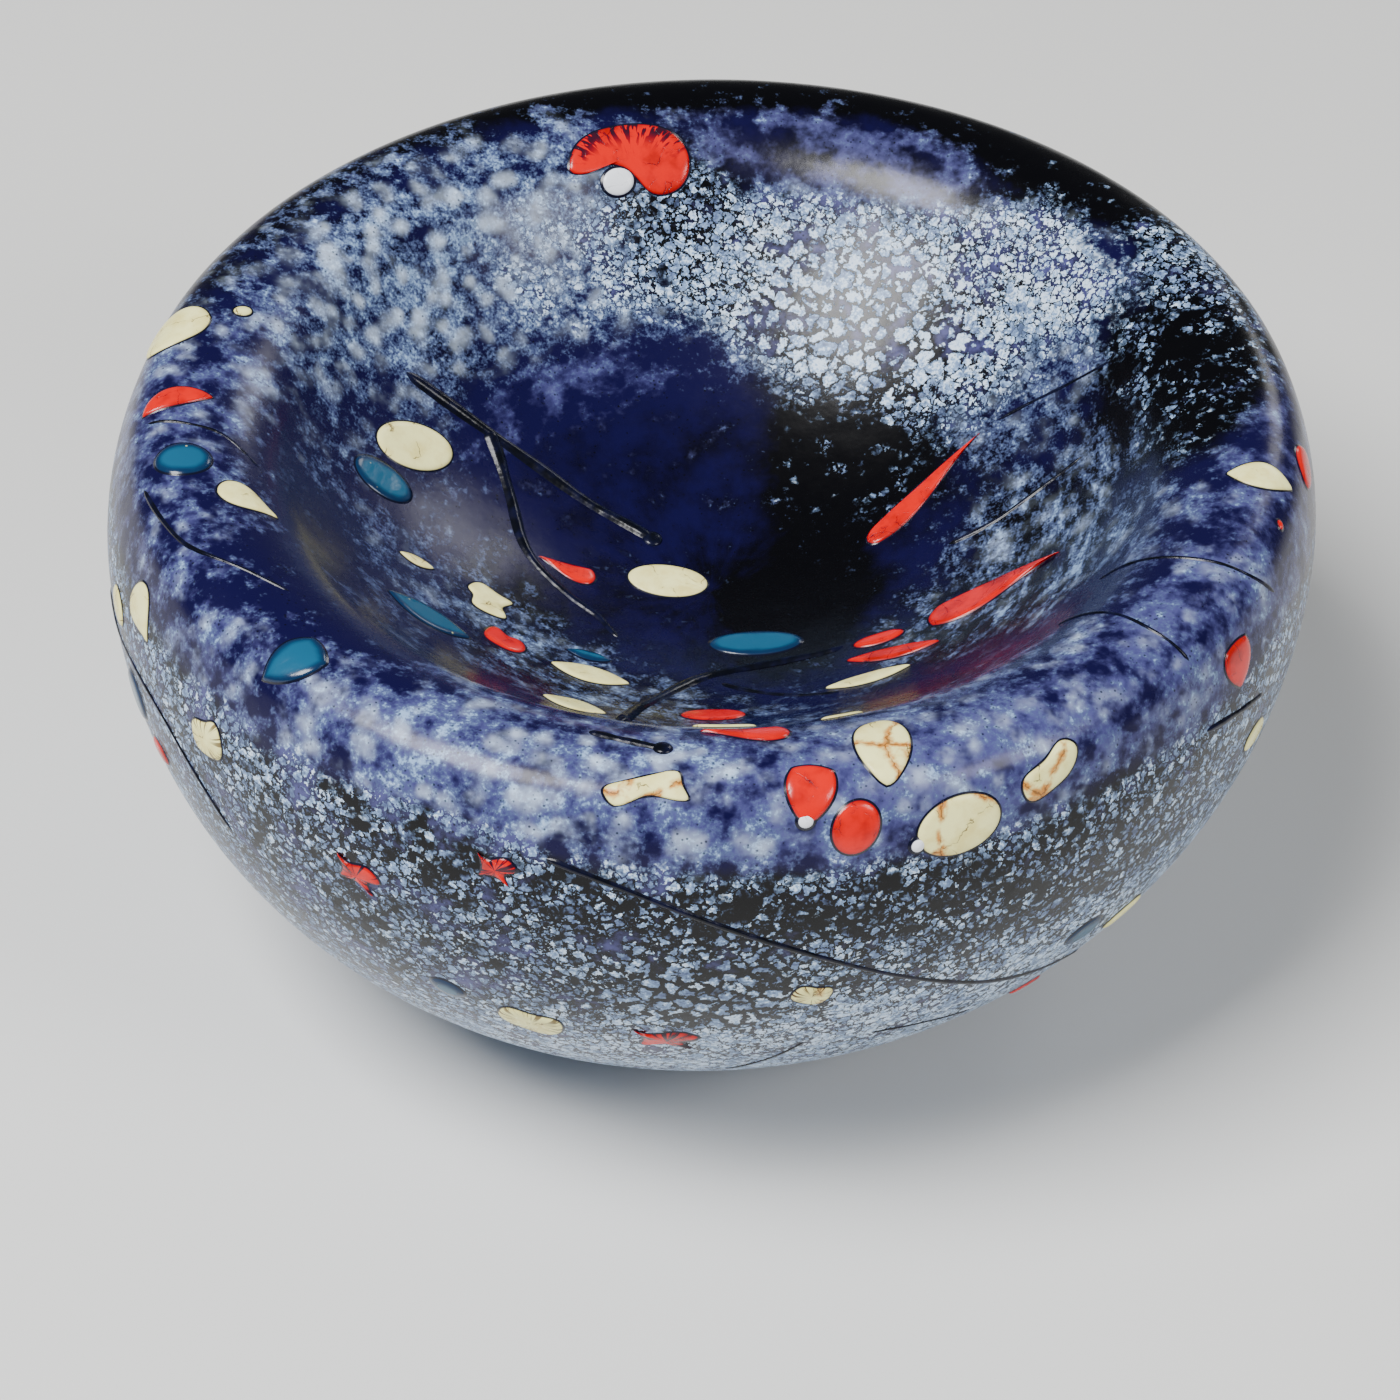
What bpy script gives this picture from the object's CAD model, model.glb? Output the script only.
import math

import bpy
import numpy as np
from bpy.props import FloatProperty, FloatVectorProperty, IntProperty, PointerProperty
from mathutils import Matrix, Vector


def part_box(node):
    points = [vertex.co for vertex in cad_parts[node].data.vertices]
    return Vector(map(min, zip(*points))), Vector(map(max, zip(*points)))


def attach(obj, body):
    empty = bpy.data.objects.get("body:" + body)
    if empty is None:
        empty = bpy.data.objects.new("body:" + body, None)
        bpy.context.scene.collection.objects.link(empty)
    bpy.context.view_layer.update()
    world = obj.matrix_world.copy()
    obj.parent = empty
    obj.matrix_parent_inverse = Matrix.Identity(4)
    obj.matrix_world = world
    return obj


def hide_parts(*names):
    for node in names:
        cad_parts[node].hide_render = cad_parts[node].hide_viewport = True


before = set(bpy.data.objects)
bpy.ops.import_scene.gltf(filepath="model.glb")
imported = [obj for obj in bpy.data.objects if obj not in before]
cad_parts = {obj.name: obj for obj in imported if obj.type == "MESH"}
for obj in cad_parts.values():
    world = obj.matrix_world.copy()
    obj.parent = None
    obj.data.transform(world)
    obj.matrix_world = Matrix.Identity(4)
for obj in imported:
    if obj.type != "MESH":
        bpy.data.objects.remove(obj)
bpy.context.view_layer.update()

bl_info = {
    "name": "Art Glass Bowl",
    "version": (1, 0, 0),
    "blender": (4, 5, 0),
    "location": "3D View > Sidebar > Glass Bowl",
    "description": "Builds a blown bowl of mottled cased glass inlaid with cane slices and trails",
    "category": "Object",
}

MM = 0.001


def tint(red, green, blue):
    """A display colour, 0 to 255, as the linear one that shaders use."""
    def linear(part):
        part /= 255
        return part / 12.92 if part <= 0.04045 else ((part + 0.055) / 1.055) ** 2.4
    return linear(red), linear(green), linear(blue), 1.0


# ---------------------------------------------------------------- the form of the bowl

# A place on the skin is an azimuth, in degrees from +X towards +Y, and a reach, in
# millimetres along the skin from the crest of the lip: positive down the outside and
# negative down into the well.

RIM_RADIUS, BELLY_RADIUS, UNDERSIDE_RADIUS, GROUND_DEPTH = 110.0, 88.0, 180.0, 5.0
CREST_INSET, CREST_RISE, CREST_ROUND = 13.0, 25.0, 9.5
LIP_ROLL_RADIUS, WELL_DEPTH, CASING_THICKNESS = 24.0, 47.0, 1.5
STRETCH, SQUEEZE, LONG_AXIS_AZIMUTH = 1.025, 0.975, 45.0


class BowlForm:
    """The section of the bowl as tangent arcs, and its places as points of the row's frame."""

    def __init__(self):
        drop = math.sqrt((UNDERSIDE_RADIUS - BELLY_RADIUS) ** 2 - (RIM_RADIUS - BELLY_RADIUS) ** 2)
        equator = UNDERSIDE_RADIUS - drop - GROUND_DEPTH
        rise_and_inset = CREST_INSET ** 2 + CREST_RISE ** 2 - 2 * CREST_RISE * CREST_ROUND
        shoulder = rise_and_inset / (2 * CREST_INSET - 2 * CREST_ROUND)
        crest_radius = RIM_RADIUS - CREST_INSET
        top = equator + CREST_RISE
        below_roll = WELL_DEPTH - LIP_ROLL_RADIUS
        well = (crest_radius ** 2 + below_roll ** 2 - LIP_ROLL_RADIUS ** 2) / (2 * WELL_DEPTH)
        under = ((0.0, equator + drop), UNDERSIDE_RADIUS)
        belly = ((RIM_RADIUS - BELLY_RADIUS, equator), BELLY_RADIUS)
        side = ((RIM_RADIUS - shoulder, equator), shoulder)
        crest = ((crest_radius, top - CREST_ROUND), CREST_ROUND)
        roll = ((crest_radius, top - LIP_ROLL_RADIUS), LIP_ROLL_RADIUS)
        bowl = ((0.0, top - WELL_DEPTH + well), well)

        def lean(start, end):
            return math.atan2(end[0][1] - start[0][1], end[0][0] - start[0][0])

        quarter = math.pi / 2
        self.outside = [(crest, quarter, lean(side, crest)), (side, lean(side, crest), 0.0),
                        (belly, 0.0, lean(under, belly)), (under, lean(under, belly), -quarter)]
        self.inside = [(roll, quarter, lean(roll, bowl)), (bowl, lean(roll, bowl) - math.pi, -quarter)]
        self.well_arc = bowl
        self.equator_height = equator * MM
        self.well_centre_reach = -sum(arc[1] * abs(end - start) for arc, start, end in self.inside)
        full_reach = sum(arc[1] * abs(end - start) for arc, start, end in self.outside)
        self.foot_radius = math.sqrt(UNDERSIDE_RADIUS ** 2 - under[0][1] ** 2)
        self.foot_reach = full_reach - UNDERSIDE_RADIUS * math.asin(self.foot_radius / UNDERSIDE_RADIUS)
        low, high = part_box("base_glass")
        self.axis = Vector(((low[0] + high[0]) / 2, (low[1] + high[1]) / 2, 0.0))
        self.turn = Matrix.Rotation(math.radians(LONG_AXIS_AZIMUTH), 3, "Z")
        self.reaches = np.arange(self.well_centre_reach, self.foot_reach, 0.25)
        self.samples = np.array([self.section(reach)[:2] for reach in self.reaches])

    def section(self, reach):
        """Distance from the axis, height, and the outward and onward directions, in millimetres."""
        runs = self.outside if reach >= 0 else self.inside
        left = abs(reach)
        for arc, start, end in runs:
            length = arc[1] * abs(end - start)
            if left <= length or arc is runs[-1][0]:
                break
            left -= length
        angle = start + math.copysign(left / arc[1], end - start)
        (x, z), radius = arc
        side = -1.0 if arc is self.well_arc else 1.0
        outward = (side * math.cos(angle), side * math.sin(angle))
        return x + radius * math.cos(angle), z + radius * math.sin(angle), outward, (outward[1], -outward[0])

    def place(self, azimuth, reach, height=0.0):
        """The point of a place, raised over the skin by a height in millimetres, and its normal."""
        x, z, outward, _ = self.section(reach)
        return self.turned(azimuth, x, z, outward, height)

    def turned(self, azimuth, x, z, outward, height=0.0):
        """A point of the section carried round to an azimuth, with its normal."""
        angle = math.radians(azimuth - LONG_AXIS_AZIMUTH)
        spoke_x, spoke_y = math.cos(angle), math.sin(angle)
        across, up = outward
        normal = Vector((spoke_x * across / STRETCH, spoke_y * across / SQUEEZE, up)).normalized()
        point = Vector((spoke_x * x * STRETCH, spoke_y * x * SQUEEZE, z)) + normal * height
        return self.turn @ (point * MM) + self.axis, self.turn @ normal

    def find(self, point):
        """Azimuth and reach of the place nearest to a point, and the radius there in millimetres."""
        round_point = (self.turn.transposed() @ (Vector(point) - self.axis)) / MM
        x, y = round_point.x / STRETCH, round_point.y / SQUEEZE
        radius = math.hypot(x, y)
        gaps = (self.samples[:, 0] - radius) ** 2 + (self.samples[:, 1] - round_point.z) ** 2
        nearest = int(np.argmin(gaps))
        reach = float(self.reaches[nearest])
        sample_x, sample_z, _, onward = self.section(reach)
        reach += (radius - sample_x) * onward[0] + (round_point.z - sample_z) * onward[1]
        return math.degrees(math.atan2(y, x)) + LONG_AXIS_AZIMUTH, reach, radius


FORM = BowlForm()


# ---------------------------------------------------------------- how the colours lie

# The look of the casing at a place: how much pale powder covers it, how far it is broken
# into crackled cells, how black the glass under it is, how violet, how cloudy and soft, how
# far the marks are drawn out round the bowl, and how coarse the cells are.
TONES = ("pale", "crackle", "black", "violet", "cloud", "stream", "coarse")

# The tones all round the bowl: a reach, and then each tone there, in the order of TONES.
BANDS = [
    (-111, 0.03, 0.10, 0.45, 0.10, 0.10, 0.30, 0.0),
    (-85, 0.12, 0.10, 0.35, 0.15, 0.30, 0.60, 0.0),
    (-60, 0.35, 0.20, 0.30, 0.35, 0.40, 0.60, 0.0),
    (-30, 0.45, 0.25, 0.20, 0.50, 0.50, 0.30, 0.0),
    (0, 0.42, 0.15, 0.15, 0.70, 0.80, 0.05, 0.0),
    (14, 0.45, 0.20, 0.20, 0.70, 0.70, 0.0, 0.0),
    (26, 0.42, 0.85, 0.85, 0.35, 0.20, 0.0, 0.2),
    (46, 0.60, 1.00, 0.80, 0.20, 0.10, 0.0, 0.2),
    (70, 0.78, 0.80, 0.45, 0.30, 0.30, 0.0, 0.0),
    (100, 0.85, 0.60, 0.25, 0.40, 0.40, 0.0, 0.0),
    (150, 0.80, 0.50, 0.25, 0.40, 0.40, 0.0, 0.0),
]

# Patches laid over the bands: azimuth, reach, half spread round the bowl in degrees, half
# spread along the skin in millimetres, and the tones that change there.
PATCHES = [
    (90, 3, 44, 8, dict(pale=0.0, black=1.0, crackle=0.2, cloud=0.0, violet=0.0)),
    (50, -1, 13, 8, dict(pale=0.0, black=1.0, crackle=0.4, cloud=0.0, violet=0.0)),
    (28, 1, 9, 9, dict(pale=0.55, crackle=1.0, black=0.9, violet=0.3, cloud=0.0)),
    (138, -24, 26, 22, dict(pale=0.64, cloud=0.9, crackle=0.3, violet=0.30, black=0.45)),
    (118, -36, 14, 16, dict(pale=0.66, cloud=0.6, crackle=0.5, black=0.3)),
    (154, 4, 20, 8, dict(pale=0.34, cloud=0.7, black=0.5, violet=0.3)),
    (100, -28, 8, 14, dict(pale=0.36, crackle=0.9, black=0.9, cloud=0.0, violet=0.3)),
    (66, -40, 30, 19, dict(pale=0.86, crackle=1.0, black=0.9, coarse=0.6, cloud=0.0, stream=0.0)),
    (64, -50, 14, 9, dict(pale=0.70, coarse=1.0, black=1.0)),
    (46, -20, 16, 9, dict(pale=0.92, crackle=1.0, black=0.8, coarse=0.2, cloud=0.0)),
    (76, -14, 20, 7, dict(pale=0.14, violet=0.62, cloud=0.6, black=0.55, crackle=0.0)),
    (10, -12, 15, 17, dict(pale=0.12, crackle=0.7, black=1.0, violet=0.1, cloud=0.0)),
    (125, -76, 40, 19, dict(pale=0.0, violet=0.26, black=0.36, crackle=0.0, cloud=0.0)),
    (132, -57, 30, 6, dict(pale=0.20, violet=0.5, cloud=0.8, crackle=0.0, black=0.0)),
    (50, -72, 24, 13, dict(pale=0.06, black=0.95, crackle=0.6, violet=0.0)),
    (345, -96, 60, 16, dict(pale=0.02, black=0.75, violet=0.05, crackle=0.0)),
    (352, -46, 26, 24, dict(pale=0.48, stream=1.0, violet=0.25, black=0.60, cloud=0.3, crackle=0.1)),
    (330, -56, 16, 16, dict(pale=0.42, stream=1.0, violet=0.25, black=0.65, crackle=0.1)),
    (238, -68, 44, 13, dict(pale=0.50, stream=0.9, cloud=0.2, violet=0.25, black=0.55, crackle=0.1)),
    (182, -42, 22, 16, dict(pale=0.38, crackle=0.1, violet=0.30, black=0.05, cloud=0.5)),
    (201, -26, 12, 12, dict(pale=0.14, violet=0.15, black=0.10, cloud=0.4)),
    (222, -10, 14, 14, dict(pale=0.06, violet=0.15, black=0.20, cloud=0.4)),
    (238, -36, 12, 10, dict(pale=0.10, violet=0.15, black=0.30, cloud=0.4)),
    (312, -48, 13, 11, dict(pale=0.08, violet=0.10, black=0.35, cloud=0.3, stream=0.6)),
    (328, -22, 9, 11, dict(pale=0.16, violet=0.25, black=0.25, cloud=0.4)),
    (203, 8, 17, 9, dict(pale=0.34, violet=0.55, cloud=0.7, black=0.05, crackle=0.0)),
    (255, 4, 24, 10, dict(pale=0.56, cloud=0.9, violet=0.8, crackle=0.1, black=0.1)),
    (292, 7, 19, 10, dict(pale=0.44, cloud=0.9, violet=0.9, crackle=0.1, black=0.1)),
    (326, 5, 16, 12, dict(pale=0.38, cloud=0.9, violet=0.75, crackle=0.0, black=0.05)),
    (352, 8, 12, 12, dict(pale=0.26, violet=0.6, cloud=0.8, crackle=0.0, black=0.1)),
    (249, 21, 9, 5, dict(black=1.0, crackle=1.0, pale=0.30, cloud=0.0, coarse=0.6)),
    (284, 29, 28, 6, dict(black=1.3, crackle=1.0, pale=0.28, cloud=0.0, violet=0.1)),
    (308, 41, 16, 7, dict(black=1.3, crackle=1.0, pale=0.34, cloud=0.0, violet=0.1)),
    (271, 50, 12, 10, dict(black=1.3, crackle=1.0, pale=0.52, coarse=0.8, cloud=0.0, violet=0.0)),
    (238, 52, 24, 22, dict(pale=0.38, crackle=1.0, black=1.1, violet=0.5, coarse=0.1)),
    (290, 72, 30, 14, dict(pale=0.78, crackle=0.7, black=0.5)),
    (208, 38, 14, 16, dict(pale=0.46, crackle=0.6, stream=0.4, black=0.9, violet=0.5)),
    (30, 42, 22, 14, dict(pale=0.70, crackle=1.0, black=0.7)),
    (75, 30, 26, 10, dict(pale=0.30, crackle=1.0, black=1.0, cloud=0.0)),
    (122, 46, 24, 15, dict(pale=0.74, cloud=0.7, crackle=0.3)),
    (162, 34, 17, 12, dict(pale=0.40, violet=0.7, cloud=0.7, black=0.2)),
    (100, 86, 40, 18, dict(pale=0.82, crackle=0.7)),
]


def tones_at(azimuths, reaches):
    """The tones at many places, as one array each."""
    table = np.array(BANDS)
    tones = {name: np.interp(reaches, table[:, 0], table[:, i + 1]) for i, name in enumerate(TONES)}
    for azimuth, reach, spread_round, spread_along, changes in PATCHES:
        around = (azimuths - azimuth + 180.0) % 360.0 - 180.0
        off = (around / spread_round) ** 2 + ((reaches - reach) / spread_along) ** 2
        weight = np.exp(-off ** 1.5 * 0.7)
        for name, value in changes.items():
            tones[name] = tones[name] * (1.0 - weight) + value * weight
    return tones


# ---------------------------------------------------------------- shader expressions


class Wire:
    """The output of a node. Arithmetic on it adds the Math nodes that work it out."""

    def __init__(self, finish, socket):
        self.finish = finish
        self.socket = socket

    def _math(self, operation, *values):
        return self.finish.node("ShaderNodeMath", {"operation": operation}, dict(enumerate(values)))

    def __add__(self, other):
        return self._math("ADD", self, other)

    def __radd__(self, other):
        return self._math("ADD", other, self)

    def __sub__(self, other):
        return self._math("SUBTRACT", self, other)

    def __rsub__(self, other):
        return self._math("SUBTRACT", other, self)

    def __mul__(self, other):
        return self._math("MULTIPLY", self, other)

    def __rmul__(self, other):
        return self._math("MULTIPLY", other, self)

    def over(self, low, high):
        """0 below low, 1 above high, and smooth between them. Swapped ends turn it round."""
        return self.finish.node("ShaderNodeMapRange", {"interpolation_type": "SMOOTHSTEP"},
                                {"Value": self, "From Min": low, "From Max": high})

    def larger(self, other):
        """The larger of this and another."""
        return self._math("MAXIMUM", self, other)


class Finish:
    """A glass finish: a material, and the nodes that give it its colour and surface."""

    def __init__(self, name):
        self.material = bpy.data.materials.new(name)
        self.material.use_nodes = True
        self.tree = self.material.node_tree
        self.tree.nodes.clear()
        self.shader = self.tree.nodes.new("ShaderNodeBsdfPrincipled")
        output = self.tree.nodes.new("ShaderNodeOutputMaterial")
        self.tree.links.new(self.shader.outputs["BSDF"], output.inputs["Surface"])

    def feed(self, socket, value):
        """Link a wire to a socket, or set a plain value on it."""
        if isinstance(value, Wire):
            self.tree.links.new(value.socket, socket)
        else:
            socket.default_value = value

    def node(self, kind, settings, sockets, output=0):
        """Any node: its type, its settings, and what goes into its sockets."""
        made = self.tree.nodes.new(kind)
        for name, value in settings.items():
            setattr(made, name, value)
        for key, value in sockets.items():
            self.feed(made.inputs[key], value)
        return Wire(self, made.outputs[output])

    def mix(self, share, first, second):
        """One colour turning into another as share goes from 0 to 1."""
        return self.node("ShaderNodeMix", {"data_type": "RGBA"}, {0: share, 6: first, 7: second}, 2)

    def vector(self, operation, first, second):
        """Vector arithmetic on two vectors, or on a vector and a scale."""
        key = "Scale" if operation == "SCALE" else 1
        return self.node("ShaderNodeVectorMath", {"operation": operation}, {0: first, key: second})

    def shift(self, vector, amount, scale):
        """A vector moved by another one times a scale."""
        return self.vector("ADD", vector, self.vector("SCALE", amount, scale))

    def tone(self, name):
        """A number stored on the mesh."""
        return self.node("ShaderNodeAttribute", {"attribute_name": name}, {}, "Fac")

    def spread(self, name):
        """A vector stored on the mesh."""
        return self.node("ShaderNodeAttribute", {"attribute_name": name}, {}, "Vector")

    def along_axes(self):
        """The place in space, in millimetres."""
        place = self.node("ShaderNodeTexCoord", {}, {}, "Object")
        return self.vector("SCALE", place, 1.0 / MM)

    def clouds(self, where, size, detail=3.0, roughness=0.55, output="Fac"):
        """Soft noise whose lumps are about size millimetres across."""
        sockets = {"Vector": where, "Scale": 1.0 / size, "Detail": detail, "Roughness": roughness}
        return self.node("ShaderNodeTexNoise", {}, sockets, output)

    def cells(self, where, size, feature="F1", output="Distance"):
        """Cells about size millimetres across: distances to their middles or to their edges."""
        sockets = {"Vector": where, "Scale": 1.0 / size}
        return self.node("ShaderNodeTexVoronoi", {"feature": feature}, sockets, output)

    def rays(self, spot, size):
        """Noise drawn out into rays from a slice's middle, different for each slice."""
        flat = self.vector("MULTIPLY", spot, (1.0, 1.0, 0.0))
        ray = self.node("ShaderNodeVectorMath", {"operation": "NORMALIZE"}, {0: flat})
        own = self.vector("MULTIPLY", spot, (0.03, 0.03, 1.0))
        return self.clouds(self.vector("ADD", ray, own), size, 2.0)

    def numbers(self, colour):
        """The first channel of a random colour, as an even random number."""
        return self.node("ShaderNodeSeparateColor", {}, {"Color": colour}, "Red")

    def surface(self, colour, roughness, height=None, depth=0.1, **constants):
        """Join colour, roughness and a height in millimetres to the shader, and set its constants."""
        self.feed(self.shader.inputs["Base Color"], colour)
        self.feed(self.shader.inputs["Roughness"], roughness)
        for name, value in constants.items():
            self.shader.inputs[name.replace("_", " ")].default_value = value
        if height is not None:
            sockets = {"Height": height, "Strength": 1.0, "Distance": depth * MM}
            bump = self.node("ShaderNodeBump", {}, sockets)
            self.feed(self.shader.inputs["Normal"], bump)
        return self.material


# ---------------------------------------------------------------- sizes and colours


def colour_property(name, description, default):
    """A colour of the glass that the panel can change."""
    return FloatVectorProperty(name=name, description=description, default=default, size=4, min=0.0,
                               max=1.0, subtype="COLOR")


def length_property(name, description, default, low, high):
    """A length in metres, between two others."""
    return FloatProperty(name=name, description=description, default=default, min=low, max=high,
                         unit="LENGTH", precision=5)


class CasingSettings(bpy.types.PropertyGroup):
    segments: IntProperty(name="Segments", description="Steps round the bowl", default=400, min=64, max=1024)
    row_spacing: length_property("Row Spacing", "Step along the skin", 1.6 * MM, 0.5 * MM, 10 * MM)
    black: colour_property("Black", "Darkest glass under the powder", tint(3, 3, 6))
    cobalt: colour_property("Cobalt", "Deep blue of the casing", tint(13, 9, 52))
    periwinkle: colour_property("Periwinkle", "Violet-blue clouds", tint(84, 86, 142))
    steel: colour_property("Steel", "Thin pale powder", tint(78, 92, 130))
    pale: colour_property("Pale", "Thick pale powder", tint(152, 186, 226))
    white: colour_property("White", "The palest spots", tint(214, 232, 252))


class SliceSettings(bpy.types.PropertyGroup):
    rise: length_property("Rise", "Height of a slice's middle over the skin", 0.55 * MM, 0.0, 2 * MM)
    contour: length_property("Contour", "Width of the dark line round a slice", 0.35 * MM, 0.0, 2 * MM)
    cream: colour_property("Cream", "Ivory cane", tint(255, 252, 176))
    cream_shade: colour_property("Cream Shade", "Cooler, thinner ivory", tint(234, 222, 142))
    amber: colour_property("Amber", "Veins in the cream", tint(196, 116, 32))
    brown: colour_property("Brown", "Cracks in the cream", tint(92, 62, 34))
    red: colour_property("Red", "Scarlet cane", tint(222, 5, 1))
    red_shade: colour_property("Red Shade", "Deeper scarlet", tint(160, 4, 1))
    turquoise: colour_property("Turquoise", "Teal cane", tint(22, 84, 114))
    turquoise_shade: colour_property("Turquoise Shade", "Edge of the teal cane", tint(10, 40, 72))
    bead: colour_property("Bead", "Beads of white glass beside some slices", tint(240, 243, 250))
    outline: colour_property("Outline", "Dark line round a slice", tint(12, 14, 34))


class TrailSettings(bpy.types.PropertyGroup):
    rise: FloatProperty(name="Rise", description="Height of a trail as a share of its width", default=0.3,
                        min=0.05, max=0.5)
    dark: colour_property("Dark", "Glass of the trails", tint(6, 8, 16))
    glint: colour_property("Glint", "Blue that shows where a trail is thin", tint(20, 22, 60))


class StageSettings(bpy.types.PropertyGroup):
    floor: colour_property("Floor", "Pale floor", tint(226, 226, 224))
    floor_shade: colour_property("Floor Shade", "Faint clouds on the floor", tint(205, 205, 203))
    air: colour_property("Air", "Colour of the light from all round", (0.75, 0.78, 0.82, 1.0))
    air_strength: FloatProperty(name="Air Strength", description="Strength of the light from all round",
                                default=0.14, min=0.0, max=2.0)
    distance: length_property("Camera Distance", "From the middle of the bowl", 0.77, 0.3, 5.0)
    elevation: FloatProperty(name="Camera Elevation", description="Angle over the floor", min=0.0,
                             max=math.radians(90.0), default=math.radians(40.0), subtype="ANGLE")
    roll: FloatProperty(name="Camera Roll", description="Lean of the camera", default=math.radians(3.29),
                        min=-0.5, max=0.5, subtype="ANGLE")
    lens: FloatProperty(name="Lens", description="Focal length in millimetres", default=107.67, min=20.0,
                        max=300.0)
    aside: FloatProperty(name="Aside", description="Bowl right of the view's middle, as a share of its width",
                         default=0.01143, min=-0.5, max=0.5)
    above: FloatProperty(name="Above", description="Bowl over the view's middle, as a share of its width",
                         default=0.14143, min=-0.5, max=0.5)


SETTINGS = {"bowl_casing": CasingSettings, "bowl_slices": SliceSettings, "bowl_trails": TrailSettings,
            "bowl_stage": StageSettings}


# ---------------------------------------------------------------- pieces


def join_rows(faces, first, rows, count, closed=True, inward=False):
    """Four-sided faces between rows of points, count points to a row, from the point numbered first."""
    for row in range(rows - 1):
        for i in range(count if closed else count - 1):
            a, b = first + row * count + i, first + row * count + (i + 1) % count
            faces.append((a, a + count, b + count, b) if inward else (a, b, b + count, a + count))


def cap_row(faces, first, count, tip):
    """Three-sided faces from a closed row of points to one more point."""
    for i in range(count):
        faces.append((first + i, first + (i + 1) % count, tip))


def make_piece(name, points, faces, material, nodes, numbers=None, vectors=None, normals=None):
    """A mesh piece that rides on the bowl, stands for its CAD nodes and carries its own tones."""
    mesh = bpy.data.meshes.new(name)
    mesh.from_pydata(points, [], faces)
    mesh.polygons.foreach_set("use_smooth", [True] * len(mesh.polygons))
    for key, values in (numbers or {}).items():
        flat = np.asarray(values, dtype=np.float32)
        mesh.attributes.new(key, "FLOAT", "POINT").data.foreach_set("value", flat)
    for key, values in (vectors or {}).items():
        flat = np.asarray(values, dtype=np.float32).reshape(-1)
        mesh.attributes.new(key, "FLOAT_VECTOR", "POINT").data.foreach_set("vector", flat)
    mesh.validate()
    if normals is not None:
        mesh.normals_split_custom_set_from_vertices(normals)
    mesh.materials.append(material)
    piece = bpy.data.objects.new(name, mesh)
    bpy.context.scene.collection.objects.link(piece)
    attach(piece, "root")
    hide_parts(*nodes)
    return piece


def casing_finish(colours):
    """Pale powder over blue, violet and black glass: soft clouds in places, crackled cells in others."""
    finish = Finish("mottled_casing")
    where = finish.along_axes()
    drawn_out = finish.spread("drawn_out")
    tone = {name: finish.tone(name) for name in TONES}

    def lumps(size, detail, roughness):
        even = finish.clouds(where, size, detail, roughness)
        return even + (finish.clouds(drawn_out, size, detail, roughness) - even) * tone["stream"]

    broad = finish.clouds(where, 22.0, 2.0)
    middling = lumps(7.0, 3.0, 0.6)
    small = lumps(2.2, 3.0, 0.6)
    grain = finish.clouds(where, 0.6, 2.0, 0.6)

    # the glass under the powder
    blackness = (tone["black"] + (broad - 0.5) * 0.5 + (middling - 0.5) * 0.7).over(0.25, 0.6)
    violetness = (tone["violet"] + (middling - 0.5) * 2.0 + (small - 0.5) * 0.8).over(0.4, 1.0)
    ground = finish.mix(blackness, colours.cobalt, colours.black)
    ground = finish.mix(violetness * 0.75, ground, colours.periwinkle)

    # soft powder
    mottle = middling * 0.38 + small * 0.38 + grain * 0.24
    cover = mottle + tone["pale"] * 0.25 - 0.625
    thin = cover.over(-0.04, 0.06)
    thick = cover.over(0.03, 0.13)
    spot_cells = finish.cells(finish.shift(where, finish.clouds(where, 5.0, 2.0, 0.5, "Color"), 3.0), 4.5,
                              "SMOOTH_F1")
    spots = spot_cells.over(0.5, 0.1) * tone["cloud"] * (tone["pale"] + middling - 0.5).over(0.3, 0.7)
    soft = finish.mix(thin * 0.85, ground, colours.steel)
    soft = finish.mix(thick * 0.8, soft, colours.pale)
    soft = finish.mix(spots * 0.6, soft, colours.white)

    # crackled powder: cells parted by cracks that show the dark glass
    bent = finish.shift(where, finish.clouds(where, 1.9, 3.0, 0.7, "Color"), 3.4)
    fine_edge = finish.cells(bent, 1.9, "DISTANCE_TO_EDGE")
    fine_kind = finish.numbers(finish.cells(bent, 1.9, "F1", "Color"))
    coarse_edge = finish.cells(bent, 3.4, "DISTANCE_TO_EDGE")
    coarse_kind = finish.numbers(finish.cells(bent, 3.4, "F1", "Color"))
    coarseness = (tone["coarse"] + (middling - 0.5) * 1.2).over(0.35, 0.65)
    edge = fine_edge + (coarse_edge - fine_edge) * coarseness
    kind = fine_kind + (coarse_kind - fine_kind) * coarseness
    cleft = tone["black"] * 0.09 + (middling - 0.5) * 0.45 + (small - 0.5) * 0.4
    body = (edge - cleft).over(0.0, 0.08)
    present = (kind * 0.3 + tone["pale"] + (small - 0.5) * 0.8 + (middling - 0.5) * 1.5 - 0.3).over(0.0, 0.25)
    brightness = kind * 0.5 + (small - 0.5) * 1.6 + (grain - 0.5) * 1.1 + tone["pale"] * 0.8
    brightness = (brightness - 0.15).over(0.0, 0.9)
    cell_colour = finish.mix(brightness, colours.steel, colours.pale)
    cell_colour = finish.mix((brightness + grain - 1.2).over(0.0, 0.4), cell_colour, colours.white)
    crackled = finish.mix(body * present, ground, cell_colour)

    broken = (tone["crackle"] + (middling - 0.5) * 0.9 + (small - 0.5) * 0.8).over(0.35, 0.65)
    colour = finish.mix(broken, soft, crackled)
    flecks = finish.cells(where, 1.1).over(0.28, 0.12) * (grain + middling - 1.0).over(-0.05, 0.12)
    colour = finish.mix(flecks * 0.8, colour, colours.black)

    roughness = 0.27 + (small - 0.5) * 0.12 + body * present * broken * 0.08
    height = broad * 1.6 + middling * 0.35 + body * present * broken * 0.12
    return finish.surface(colour, roughness, height, 0.35, Specular_IOR_Level=0.22, Coat_Weight=0.04,
                          Coat_Roughness=0.08)


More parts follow.
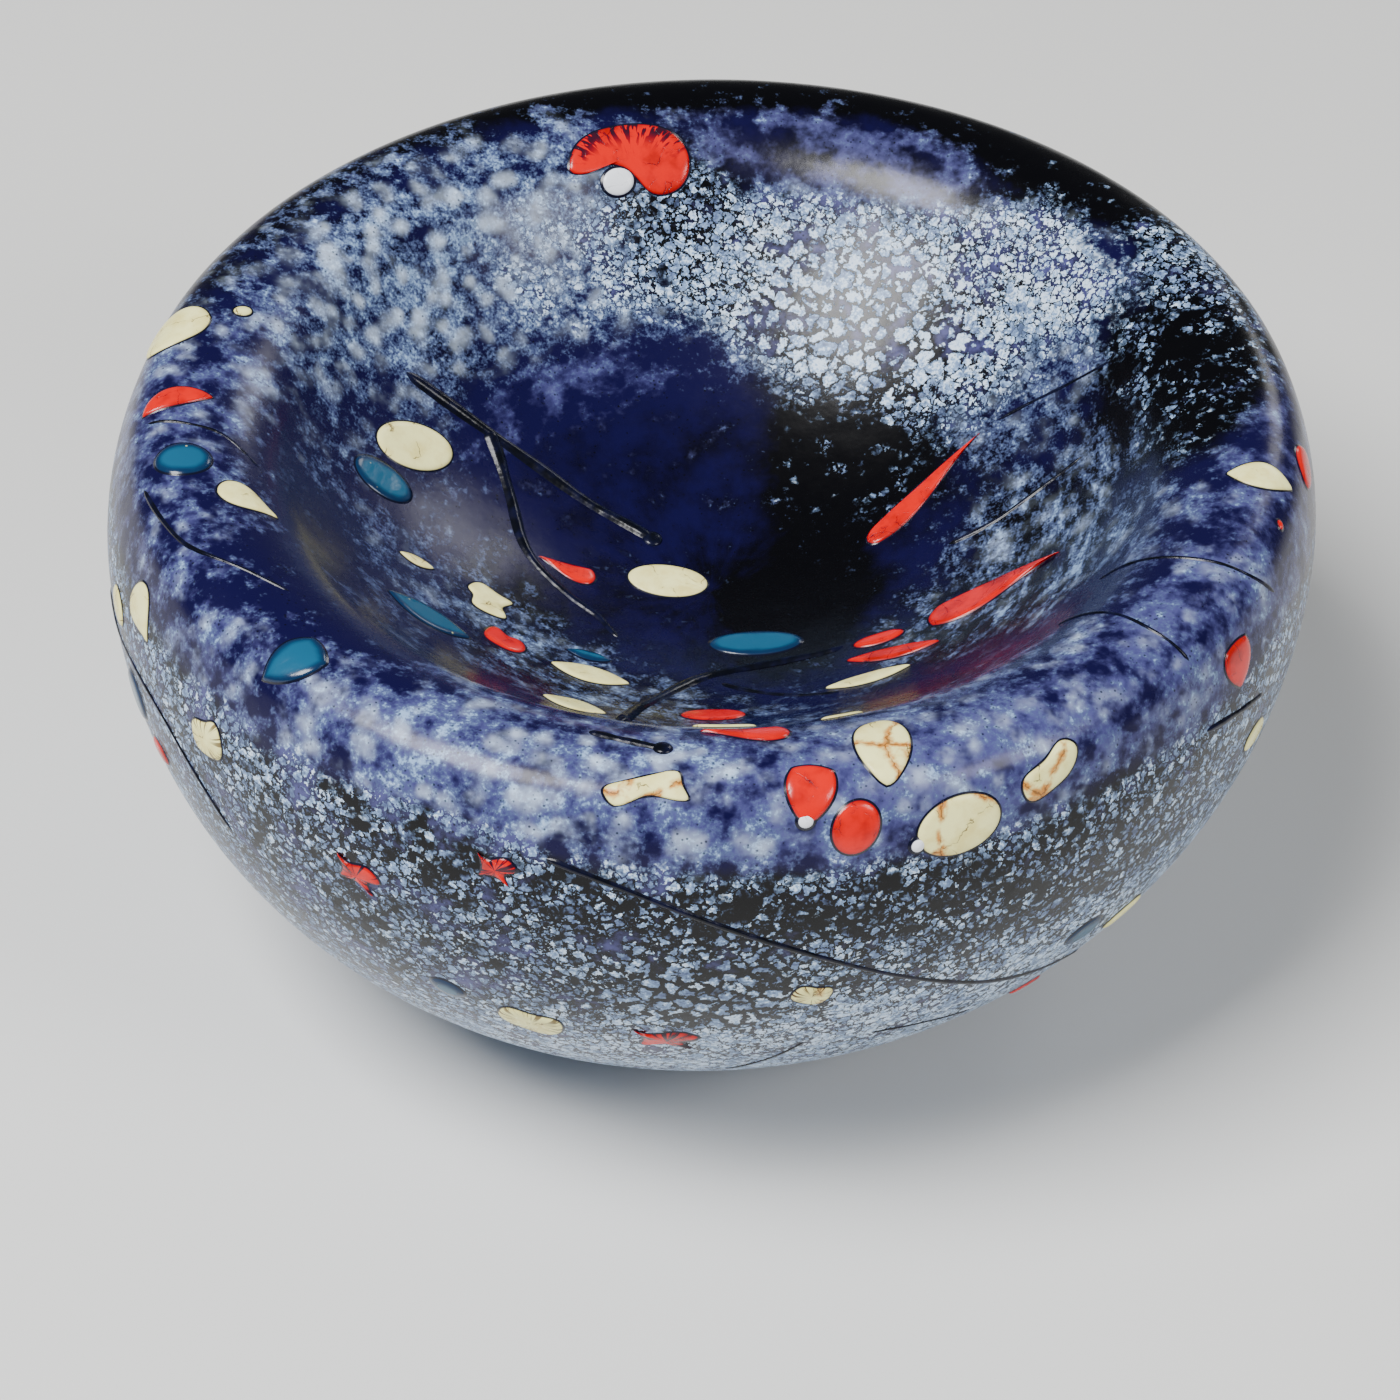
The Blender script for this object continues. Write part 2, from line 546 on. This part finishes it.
def base_finish(colours, name):
    """The dark ground glass of the foot, with the fine scratches that grinding leaves."""
    finish = Finish(name)
    where = finish.along_axes()
    haze = finish.clouds(where, 9.0, 3.0)
    drawn = finish.node("ShaderNodeMapping", {}, {"Vector": where, "Scale": (0.2, 3.0, 1.0)})
    scratches = finish.clouds(drawn, 1.0, 3.0)
    colour = finish.mix((haze * 0.6 + scratches * 0.4).over(0.35, 0.7), colours.black, colours.cobalt)
    return finish.surface(colour, 0.3 + scratches * 0.35, scratches, 0.03, IOR=1.5)


# The reaches where the lip's belt of the casing starts, in the well, and ends, down the outside.
LIP_START, LIP_END = -38.0, 22.0


class GLASS_OT_casing(bpy.types.Operator):
    """Lay the mottled casing over the bowl: the well, the lip and the outside down to the foot"""
    bl_idname = "glass_bowl.casing"
    bl_label = "Casing"

    def execute(self, context):
        settings = context.scene.bowl_casing
        finish = casing_finish(settings)
        spacing = settings.row_spacing / MM
        self.lay(settings, finish, "casing_well", FORM.well_centre_reach, LIP_START, spacing)
        self.lay(settings, finish, "casing_lip", LIP_START, LIP_END, spacing)
        self.lay(settings, finish, "casing_side", LIP_END, FORM.foot_reach, spacing)
        return {"FINISHED"}

    def lay(self, settings, finish, name, start, end, spacing):
        """One belt of the casing, from one reach to another."""
        count = max(2, round((end - start) / spacing))
        rows = [start + (end - start) * i / count for i in range(count + 1)]
        segments = settings.segments
        points, normals, azimuths, reaches, drawn_out = [], [], [], [], []

        def add(azimuth, reach, x, z, outward):
            point, normal = FORM.turned(azimuth, x, z, outward)
            points.append(point)
            normals.append(normal)
            azimuths.append(azimuth)
            reaches.append(reach)
            angle = math.radians(azimuth)
            drawn_out.append((40.0 * math.cos(angle), 40.0 * math.sin(angle), reach * 1.2))

        for reach in rows:
            x, z, outward, _ = FORM.section(reach)
            for i in range(segments):
                add(360.0 * i / segments, reach, max(x, 0.05), z, outward)
        ring_count = len(rows)
        if end == FORM.foot_reach:
            under_casing = UNDERSIDE_RADIUS - CASING_THICKNESS
            centre_height = UNDERSIDE_RADIUS - GROUND_DEPTH
            inner = math.sqrt(under_casing ** 2 - centre_height ** 2)
            for share in (0.02, 0.5, 1.0):
                radius = FORM.foot_radius + (inner - FORM.foot_radius) * share
                for i in range(segments):
                    add(360.0 * i / segments, end + FORM.foot_radius - radius, radius, 0.0, (0.0, -1.0))
            ring_count += 3
        faces = []
        join_rows(faces, 0, ring_count, segments, inward=True)
        if start == FORM.well_centre_reach:
            faces.append(tuple(range(segments)))
        tones = tones_at(np.array(azimuths), np.array(reaches))
        make_piece(name, points, faces, finish, ["colour_casing"], tones,
                   {"drawn_out": drawn_out}, normals)


class GLASS_OT_base(bpy.types.Operator):
    """Give the base glass and the seal in its foot their dark ground finish"""
    bl_idname = "glass_bowl.base"
    bl_label = "Base Glass"

    def execute(self, context):
        for node, name in (("base_glass", "ground_foot_glass"), ("foot_seal", "seal_glass")):
            material = base_finish(context.scene.bowl_casing, name)
            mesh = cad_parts[node].data
            mesh.materials.clear()
            mesh.materials.append(material)
        return {"FINISHED"}


# ---------------------------------------------------------------- slices of cane


WELD_DISTANCE = 0.002 * MM
OUTLINE_POINTS = 56
CANE_GLOSS = dict(Specular_IOR_Level=0.35, Coat_Weight=0.1, Coat_Roughness=0.08)
IVORY_GLOSS = dict(Specular_IOR_Level=0.22, Coat_Weight=0.05, Coat_Roughness=0.08)


def top_outlines(node):
    """The outlines of a node's upper faces, one closed list of points for each of its solids."""
    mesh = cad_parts[node].data
    keys = {}
    index = []
    corners = []
    for vertex in mesh.vertices:
        key = tuple(round(part / WELD_DISTANCE) for part in vertex.co)
        if key not in keys:
            keys[key] = len(corners)
            corners.append(vertex.co.copy())
        index.append(keys[key])
    places = [FORM.find(point) for point in corners]
    heights = [(point - FORM.place(*place[:2])[0]).dot(FORM.place(*place[:2])[1]) / MM
               for point, place in zip(corners, places)]
    following = {}
    for polygon in mesh.polygons:
        face = [index[v] for v in polygon.vertices]
        if min(heights[v] for v in face) < 0.1:
            continue
        for a, b in zip(face, face[1:] + face[:1]):
            if a != b:
                following[(a, b)] = True
    border = {a: b for a, b in following if (b, a) not in following}
    loops = []
    while border:
        start = next(iter(border))
        loop = [start]
        here = border.pop(start)
        while here != start:
            loop.append(here)
            here = border.pop(here)
        loops.append([corners[v] for v in loop])
    return loops


def evenly(loop, count):
    """Points at even steps round a closed outline."""
    lengths = [(b - a).length for a, b in zip(loop, loop[1:] + loop[:1])]
    total = sum(lengths)
    result = []
    index, gone = 0, 0.0
    for i in range(count):
        target = total * i / count
        while gone + lengths[index] < target:
            gone += lengths[index]
            index += 1
        share = (target - gone) / max(lengths[index], 1e-12)
        result.append(loop[index].lerp(loop[(index + 1) % len(loop)], share))
    return result


# Beads of white glass that lie on a slice's edge: azimuth, reach, length round the bowl, and width.
BEADS = {
    "red_cap_far_rim": (108, -20.3, 6.2, 5.4),
    "red_shield_front_lip": (281, 10.2, 2.6, 2.4),
    "cream_veined_front_lip": (291, 17.7, 2.4, 2.4),
}


def bead_outline(azimuth, reach, length, width):
    """An oval laid on the skin."""
    radius = FORM.find(FORM.place(azimuth, reach)[0])[2]
    turns = [math.tau * i / 24 for i in range(24)]
    return [FORM.place(azimuth + math.degrees(math.cos(turn) * length / 2 / radius),
                       reach - math.sin(turn) * width / 2)[0] for turn in turns]


def slice_mesh(loops, beads, rise, contour, seed):
    """Domed slices and beads: points, faces, and three things that their finish reads at each point.

    They are the distance inside the outline, 1 on a bead, and the place from the slice's middle.
    """
    points, faces, rims, whites, spots = [], [], [], [], []
    count = OUTLINE_POINTS
    for number, (loop, white) in enumerate([(loop, 0.0) for loop in loops] + [(bead, 1.0) for bead in beads]):
        outline = evenly(loop, count)
        middle = sum(outline, Vector()) / count
        azimuth, reach, radius = FORM.find(middle)
        # Distances inside the outline: a skirt under the skin, the dark line, and the rounded edge.
        steps = (-contour - 0.15, -contour, 0.0, 0.12, 0.4, 0.8, 1.4)
        first = len(points)
        rings = 0

        def add(point, height, rim):
            at, along, _ = FORM.find(point)
            place, _ = FORM.place(at, along, height + 0.2 * white)
            points.append(place)
            rims.append(rim)
            whites.append(white)
            turned = (at - azimuth + 180.0) % 360.0 - 180.0
            spots.append((math.radians(turned) * radius, along - reach, 7.3 * (seed + number)))

        def height_at(rim):
            """Height over the skin: a steep rounded edge that levels off toward the middle."""
            if rim <= -contour:
                return -0.15 if rim < -contour else 0.02
            return 0.10 + (rise - 0.10) * (1.0 - math.exp(-max(rim, 0.0) / 0.5)) if rim > 0 else 0.06

        reaches_out = [(point - middle).length / MM for point in outline]
        for step in steps:
            for point, out in zip(outline, reaches_out):
                inward = step if step <= 0 else step * min(1.0, out / 3.0)
                add(middle + (point - middle) * (1.0 - inward / out), height_at(inward), inward)
            rings += 1
        for share in (0.66, 0.33):
            for point, out in zip(outline, reaches_out):
                last = 1.0 - 1.4 * min(1.0, out / 3.0) / out
                rim = out * (1.0 - share * last)
                add(middle + (point - middle) * (share * last), height_at(rim), rim)
            rings += 1
        add(middle, rise, min(reaches_out))
        join_rows(faces, first, rings, count)
        cap_row(faces, first + (rings - 1) * count, count, len(points) - 1)
    return points, faces, rims, whites, spots


def contoured(finish, rim, colour, colours):
    """A slice's colour inside, white on its bead, and the thin dark line where it is set into the casing."""
    colour = finish.mix(finish.tone("white"), colour, colours.bead)
    return finish.mix(rim.over(0.16, -0.02), colour, colours.outline)


def cream_finish(colours, name, veins=0.0, fan=0.0):
    """Ivory cane with hairline cracks, and amber veins or a fan of brown streaks where it has them."""
    finish = Finish(name)
    where = finish.along_axes()
    rim = finish.tone("rim")
    spot = finish.spread("spot")
    haze = finish.clouds(spot, 4.0, 3.0)
    bent = finish.shift(spot, finish.clouds(spot, 2.5, 3.0, 0.6, "Color"), 2.4)
    crack = finish.cells(bent, 6.0, "DISTANCE_TO_EDGE").over(0.016, 0.003) * haze.over(0.5, 0.62)
    colour = finish.mix(haze.over(0.35, 0.72), colours.cream, colours.cream_shade)
    colour = finish.mix(rim.over(0.9, 0.1) * 0.35, colour, colours.cream_shade)
    if veins:
        vein = finish.cells(bent, 11.0, "DISTANCE_TO_EDGE")
        colour = finish.mix(vein.over(0.09, 0.02) * haze.over(0.36, 0.52) * veins, colour, colours.amber)
        crack = crack.larger(vein.over(0.014, 0.003) * haze.over(0.4, 0.5) * 0.8)
    if fan:
        streak = finish.rays(spot, 0.22)
        colour = finish.mix(streak.over(0.53, 0.6) * rim.over(3.4, 0.4) * fan, colour, colours.brown)
    colour = finish.mix(crack * 0.85, colour, colours.brown)
    colour = contoured(finish, rim, colour, colours)
    grain = finish.clouds(where, 0.8, 2.0)
    return finish.surface(colour, 0.2 + grain * 0.12, crack * -0.6 + haze * 0.5, 0.15, **IVORY_GLOSS)


def red_finish(colours, name, streaks=0.0, frayed=0.0):
    """Scarlet cane with fine dark cracks, broken by dark streaks, or frayed at its outer edge."""
    finish = Finish(name)
    rim = finish.tone("rim")
    spot = finish.spread("spot")
    haze = finish.clouds(spot, 5.0, 3.0)
    bent = finish.shift(spot, finish.clouds(spot, 2.0, 3.0, 0.6, "Color"), 1.8)
    crack = finish.cells(bent, 4.2, "DISTANCE_TO_EDGE").over(0.02, 0.003) * haze.over(0.44, 0.6)
    colour = finish.mix(haze.over(0.38, 0.75), colours.red, colours.red_shade)
    colour = finish.mix(rim.over(0.8, 0.1) * 0.5, colour, colours.red_shade)
    if streaks:
        star = finish.rays(spot, 0.4).over(0.52, 0.58)
        colour = finish.mix(star * streaks, colour, colours.outline)
    if frayed:
        outer = finish.node("ShaderNodeSeparateXYZ", {}, {"Vector": spot}, "Y")
        strands = finish.rays(finish.shift(spot, (0.0, 5.0, 0.0), 1.0), 0.12).over(0.49, 0.54)
        strands = strands * (outer + (haze - 0.5) * 8.0).over(-1.5, 1.5) * rim.over(7.0, 1.5)
        colour = finish.mix(strands * frayed, colour, colours.outline)
    colour = finish.mix(crack * 0.8, colour, colours.outline)
    colour = contoured(finish, rim, colour, colours)
    return finish.surface(colour, 0.2 + haze * 0.1, crack * -0.5 + haze * 0.5, 0.15, **CANE_GLOSS)


def turquoise_finish(colours):
    """Teal cane, darker and softer toward its edge, with a few seeds of trapped air."""
    finish = Finish("turquoise_cane")
    rim = finish.tone("rim")
    spot = finish.spread("spot")
    haze = finish.clouds(spot, 4.0, 3.0)
    seeds = finish.cells(spot, 2.6).over(0.12, 0.05) * haze.over(0.5, 0.6)
    colour = finish.mix((haze * 0.5 + rim.over(2.4, 0.2) * 0.7).over(0.25, 0.95), colours.turquoise,
                        colours.turquoise_shade)
    colour = finish.mix(seeds * 0.5, colour, colours.cream)
    colour = contoured(finish, rim, colour, colours)
    return finish.surface(colour, 0.16 + haze * 0.1, haze + seeds * 0.4, 0.15, **CANE_GLOSS)


def nodes_of(start):
    """The CAD nodes of one colour, in order of name."""
    return [node for node in sorted(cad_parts) if node.startswith(start)]


def lay_slices(context, nodes):
    """Build each node's slices with the finish given for it."""
    settings = context.scene.bowl_slices
    rise, contour = settings.rise / MM, settings.contour / MM
    for number, (node, finish) in enumerate(nodes.items()):
        beads = [bead_outline(*BEADS[node])] if node in BEADS else []
        points, faces, rims, whites, spots = slice_mesh(top_outlines(node), beads, rise, contour, number)
        make_piece(f"cane_{node}", points, faces, finish, [node], {"rim": rims, "white": whites},
                   {"spot": spots})


class GLASS_OT_cream(bpy.types.Operator):
    """Lay the cream slices of cane into the skin"""
    bl_idname = "glass_bowl.cream"
    bl_label = "Cream Slices"

    def execute(self, context):
        colours = context.scene.bowl_slices
        plain = cream_finish(colours, "cream_cane")
        veined = cream_finish(colours, "cream_veined_cane", veins=0.9)
        fanned = cream_finish(colours, "cream_fanned_cane", fan=0.85)
        special = {"cream_veined_front_lip": veined, "cream_bone_front_lip": veined,
                   "cream_round_front_lip": veined, "cream_bean_front_lip": veined,
                   "cream_fan_left_side": fanned, "cream_fan_front_belly": fanned}
        lay_slices(context, {node: special.get(node, plain) for node in nodes_of("cream_")})
        return {"FINISHED"}


class GLASS_OT_brown(bpy.types.Operator):
    """Lay the brown fan of cane into the belly"""
    bl_idname = "glass_bowl.brown"
    bl_label = "Brown Slice"

    def execute(self, context):
        colours = context.scene.bowl_slices
        finish = cream_finish(colours, "brown_fanned_cane", veins=0.5, fan=1.0)
        lay_slices(context, {"brown_fan_front_belly": finish})
        return {"FINISHED"}


class GLASS_OT_red(bpy.types.Operator):
    """Lay the scarlet slices of cane into the skin"""
    bl_idname = "glass_bowl.red"
    bl_label = "Red Slices"

    def execute(self, context):
        colours = context.scene.bowl_slices
        plain = red_finish(colours, "red_cane")
        streaked = red_finish(colours, "red_streaked_cane", streaks=0.95)
        frayed = red_finish(colours, "red_frayed_cane", frayed=0.95)
        special = {"red_streaked_chips": streaked, "red_cap_far_rim": frayed}
        lay_slices(context, {node: special.get(node, plain) for node in nodes_of("red_")})
        return {"FINISHED"}


class GLASS_OT_turquoise(bpy.types.Operator):
    """Lay the turquoise slices of cane into the skin"""
    bl_idname = "glass_bowl.turquoise"
    bl_label = "Turquoise Slices"

    def execute(self, context):
        finish = turquoise_finish(context.scene.bowl_slices)
        lay_slices(context, {node: finish for node in nodes_of("turquoise_")})
        return {"FINISHED"}


# ---------------------------------------------------------------- trails of dark glass

# Node, width at the start, width at the end, diameter of the bead that ends it, and route.
TRAILS = [
    ("dark_trail_left_well", 2.4, 2.1, 3.8,
     [(154, -38), (150, -53), (146, -68), (142, -82), (133, -94)]),
    ("dark_trail_well_floor", 2.8, 1.1, 0,
     [(148.5, -57), (153.5, -63.5), (162, -70), (176, -76), (191, -83), (208, -88), (226, -88)]),
    ("dark_trail_front_well", 2.6, 1.6, 0,
     [(257, -50), (257, -64), (262, -76), (271, -83), (286, -85.5), (305, -84), (322, -79)]),
    ("dark_trail_front_well", 1.3, 0.8, 0,
     [(277, -80), (286, -75), (295, -69), (303, -64)]),
    ("dark_drop_front_lip", 1.6, 1.6, 3.4,
     [(259.5, -7), (263, -6), (267.5, -4.5)]),
    ("dark_trail_front_belly", 1.2, 0.8, 0,
     [(258.5, 19), (265, 22.5), (272, 28), (281, 37), (290, 48), (301, 62), (309, 70), (316, 76)]),
    ("dark_trail_right_side", 1.4, 1.0, 0,
     [(323.5, 23), (329, 26), (334, 29)]),
    ("dark_trail_left_side", 0.8, 0.8, 0,
     [(193, 36), (199, 36), (206, 33.5), (213, 34), (219, 39), (224, 46)]),
    ("dark_threads_right_well", 1.2, 0.7, 0,
     [(6, -66), (7, -57), (9, -47), (10, -37)]),
    ("dark_threads_right_well", 0.7, 0.5, 0,
     [(30, -47), (28, -41), (25, -33), (22, -24)]),
    ("dark_threads_belly", 0.6, 0.6, 0,
     [(290, 71), (296, 74), (302, 78)]),
    ("dark_threads_belly", 0.6, 0.6, 0,
     [(276, 88), (280, 79), (283, 70)]),
    ("dark_threads_rim", 0.6, 0.6, 0,
     [(187.5, 5), (188.5, -2), (190, -9), (194, -15)]),
    ("dark_threads_rim", 0.8, 0.6, 0,
     [(197, 7), (202, 5.5), (208, 3), (214, -3), (219, -7)]),
    ("dark_threads_rim", 0.7, 0.6, 0,
     [(334, -24), (334.5, -14), (335, -4), (336, 5), (338.5, 13)]),
    ("dark_threads_rim", 0.7, 0.6, 0,
     [(322, -22), (323, -11), (322.5, 0), (323, 8)]),
    ("dark_back_trails", 1.2, 0.8, 0,
     [(150, 34), (138, 38), (124, 43), (110, 50), (98, 58)]),
    ("dark_back_trails", 1.6, 1.4, 3.0,
     [(74, 34), (68, 39), (61, 36)]),
    ("dark_back_trails", 1.0, 0.7, 0,
     [(30, 42), (38, 48), (46, 57), (58, 66)]),
]


def smooth_route(route, steps):
    """Places along the smooth line through a route's places."""
    padded = [route[0]] + route + [route[-1]]
    result = []
    for i in range(1, len(padded) - 2):
        before, start, end, after = (Vector(padded[j]) for j in (i - 1, i, i + 1, i + 2))
        for step in range(steps):
            t = step / steps
            linear = (end - before) * t
            squared = (2 * before - 5 * start + 4 * end - after) * t ** 2
            cubed = (3 * start - before - 3 * end + after) * t ** 3
            result.append(0.5 * (2 * start + linear + squared + cubed))
    result.append(Vector(route[-1]))
    return result


def trail_finish(colours):
    """Black-blue glass with a bright gloss and slight lumps."""
    finish = Finish("dark_trail_glass")
    where = finish.along_axes()
    lumps = finish.clouds(where, 3.0, 2.0)
    colour = finish.mix(lumps.over(0.35, 0.75) * 0.5, colours.dark, colours.glint)
    return finish.surface(colour, 0.16 + lumps * 0.14, lumps, 0.2, Specular_IOR_Level=0.25)


class GLASS_OT_trails(bpy.types.Operator):
    """Lay the dark trails, threads and beads on the skin"""
    bl_idname = "glass_bowl.trails"
    bl_label = "Dark Trails"

    def execute(self, context):
        settings = context.scene.bowl_trails
        finish = trail_finish(settings)
        meshes = {}
        for node, start_width, end_width, bead, route in TRAILS:
            points, faces = meshes.setdefault(node, ([], []))
            self.band(points, faces, settings, start_width, end_width, route)
            if bead:
                self.bead(points, faces, route[-1], bead)
        for node, (points, faces) in meshes.items():
            make_piece(f"laid_{node}", points, faces, finish, [node])
        return {"FINISHED"}

    def band(self, points, faces, settings, start_width, end_width, route):
        """A rounded ridge along a route, drawn out to a point at both ends."""
        places = smooth_route(route, 14)
        spine = [FORM.place(*place) for place in places]
        # Half of the ridge's section: shares of its half width across, and of its height up.
        left = [(-1.25, -0.12), (-1.0, 0.02), (-0.75, 0.55), (-0.4, 0.9)]
        profile = left + [(0.0, 1.0)] + [(-across, up) for across, up in reversed(left)]
        first = len(points)
        last = len(spine) - 1
        for i, (point, normal) in enumerate(spine):
            heading = (spine[min(i + 1, last)][0] - spine[max(i - 1, 0)][0]).normalized()
            sideways = heading.cross(normal).normalized()
            share = i / last
            # Hand-drawn trails swell and thin along their length.
            wobble = 1.0 + 0.12 * math.sin(share * 17.0 + len(route))
            end_taper = min(1.0, share * last / 3.0 + 0.15, (last - i) / 3.0 + 0.15)
            half = (start_width + (end_width - start_width) * share) / 2 * wobble * end_taper
            for across, up in profile:
                lift = half * 2 * settings.rise * up + (0.03 if up > 0 else 0.0)
                side = point + sideways * (across * half * MM)
                azimuth, reach, _ = FORM.find(side)
                points.append(FORM.place(azimuth, reach, lift)[0])
        join_rows(faces, first, last + 1, len(profile), closed=False)

    def bead(self, points, faces, place, diameter):
        """A flattened drop at the end of a trail."""
        centre, normal = FORM.place(*place)
        across = normal.orthogonal().normalized()
        along = normal.cross(across)
        first = len(points)
        count, rings = 20, 6
        for ring in range(rings):
            tilt = math.pi / 2 * ring / rings
            for i in range(count):
                angle = 2 * math.pi * i / count
                spoke = across * math.cos(angle) + along * math.sin(angle)
                out = spoke * (math.cos(tilt) * diameter / 2 * MM)
                points.append(centre + out + normal * ((math.sin(tilt) * 0.8 - 0.06) * MM))
        points.append(centre + normal * (0.74 * MM))
        join_rows(faces, first, rings, count)
        cap_row(faces, first + (rings - 1) * count, count, len(points) - 1)


# ---------------------------------------------------------------- stage


# Each soft light's place and side in metres, and its power in watts.
LIGHTS = {
    "key_light": ((-0.55, -0.45, 1.25), 0.6, 35.0),
    "fill_light": ((1.0, -0.6, 0.9), 0.5, 9.0),
    "back_light": ((0.75, 1.15, 0.75), 0.4, 3.0),
}
SENSOR_WIDTH = 36.0


class GLASS_OT_stage(bpy.types.Operator):
    """Set the pale floor, the soft lights and the camera"""
    bl_idname = "glass_bowl.stage"
    bl_label = "Stage"

    def execute(self, context):
        settings = context.scene.bowl_stage
        self.floor(settings)
        for name, (place, size, power) in LIGHTS.items():
            self.light(name, place, size, power)
        self.world(context, settings)
        self.camera(context, settings)
        return {"FINISHED"}

    def floor(self, settings):
        """A wide plane with a faint tooth to it."""
        half = 6.0
        corners = [(-half, -half, 0), (half, -half, 0), (half, half, 0), (-half, half, 0)]
        mesh = bpy.data.meshes.new("studio_floor")
        mesh.from_pydata(corners, [], [(0, 1, 2, 3)])
        finish = Finish("floor_paper")
        where = finish.along_axes()
        haze = finish.clouds(where, 400.0, 2.0)
        colour = finish.mix(haze * 0.1, settings.floor, settings.floor_shade)
        mesh.materials.append(finish.surface(colour, 0.7 + haze * 0.1))
        floor = bpy.data.objects.new("studio_floor", mesh)
        bpy.context.scene.collection.objects.link(floor)

    def light(self, name, place, size, power):
        """A soft square light that faces the bowl."""
        data = bpy.data.lights.new(name, "AREA")
        data.shape = "SQUARE"
        data.size = size
        data.energy = power
        lamp = bpy.data.objects.new(name, data)
        lamp.location = place
        aim = Vector((0.0, 0.0, 0.06)) - Vector(place)
        lamp.rotation_euler = aim.to_track_quat("-Z", "Y").to_euler()
        bpy.context.scene.collection.objects.link(lamp)

    def world(self, context, settings):
        """Even grey light from all round."""
        world = bpy.data.worlds.new("studio_air")
        world.use_nodes = True
        background = world.node_tree.nodes["Background"]
        background.inputs["Color"].default_value = settings.air
        background.inputs["Strength"].default_value = settings.air_strength
        context.scene.world = world

    def camera(self, context, settings):
        """Looks down at the bowl, leaning a little, with the bowl high in the frame."""
        middle = Vector((0.0, 0.0, FORM.equator_height))
        tilt = settings.elevation
        back = Vector((0.0, -math.cos(tilt), math.sin(tilt)))
        right = Vector((1.0, 0.0, 0.0))
        up = back.cross(right)
        leaning_right = right * math.cos(settings.roll) + up * math.sin(settings.roll)
        leaning_up = up * math.cos(settings.roll) - right * math.sin(settings.roll)
        basis = Matrix((leaning_right, leaning_up, back)).transposed()
        focal = settings.lens / SENSOR_WIDTH
        toward_middle = Vector((settings.aside / focal, settings.above / focal, -1.0)).normalized()
        aim = toward_middle.rotation_difference(Vector((0.0, 0.0, -1.0))).to_matrix()
        data = bpy.data.cameras.new("studio_camera")
        data.lens = settings.lens
        data.sensor_width = SENSOR_WIDTH
        data.clip_start = 0.01
        camera = bpy.data.objects.new("studio_camera", data)
        camera.matrix_world = Matrix.Translation(middle + back * settings.distance) @ (basis @ aim).to_4x4()
        context.scene.collection.objects.link(camera)
        context.scene.camera = camera


# ---------------------------------------------------------------- panel and registration


class GLASS_PT_bowl(bpy.types.Panel):
    """Lists the bowl's pieces and their settings"""
    bl_idname = "GLASS_PT_bowl"
    bl_label = "Glass Bowl"
    bl_space_type = "VIEW_3D"
    bl_region_type = "UI"
    bl_category = "Glass Bowl"

    def draw(self, context):
        for name, group in SETTINGS.items():
            box = self.layout.box()
            for key in group.__annotations__:
                box.prop(getattr(context.scene, name), key)
        for operator in OPERATORS:
            self.layout.operator(operator.bl_idname)


OPERATORS = (GLASS_OT_casing, GLASS_OT_base, GLASS_OT_cream, GLASS_OT_brown, GLASS_OT_red,
             GLASS_OT_turquoise, GLASS_OT_trails, GLASS_OT_stage)
CLASSES = (*SETTINGS.values(), *OPERATORS, GLASS_PT_bowl)


def register():
    for cls in CLASSES:
        bpy.utils.register_class(cls)
    for name, group in SETTINGS.items():
        setattr(bpy.types.Scene, name, PointerProperty(type=group))


def unregister():
    for name in SETTINGS:
        delattr(bpy.types.Scene, name)
    for cls in reversed(CLASSES):
        bpy.utils.unregister_class(cls)


def main():
    register()
    bpy.ops.glass_bowl.casing()
    bpy.ops.glass_bowl.base()
    bpy.ops.glass_bowl.cream()
    bpy.ops.glass_bowl.brown()
    bpy.ops.glass_bowl.red()
    bpy.ops.glass_bowl.turquoise()
    bpy.ops.glass_bowl.trails()
    bpy.ops.glass_bowl.stage()


if __name__ == "__main__":
    main()
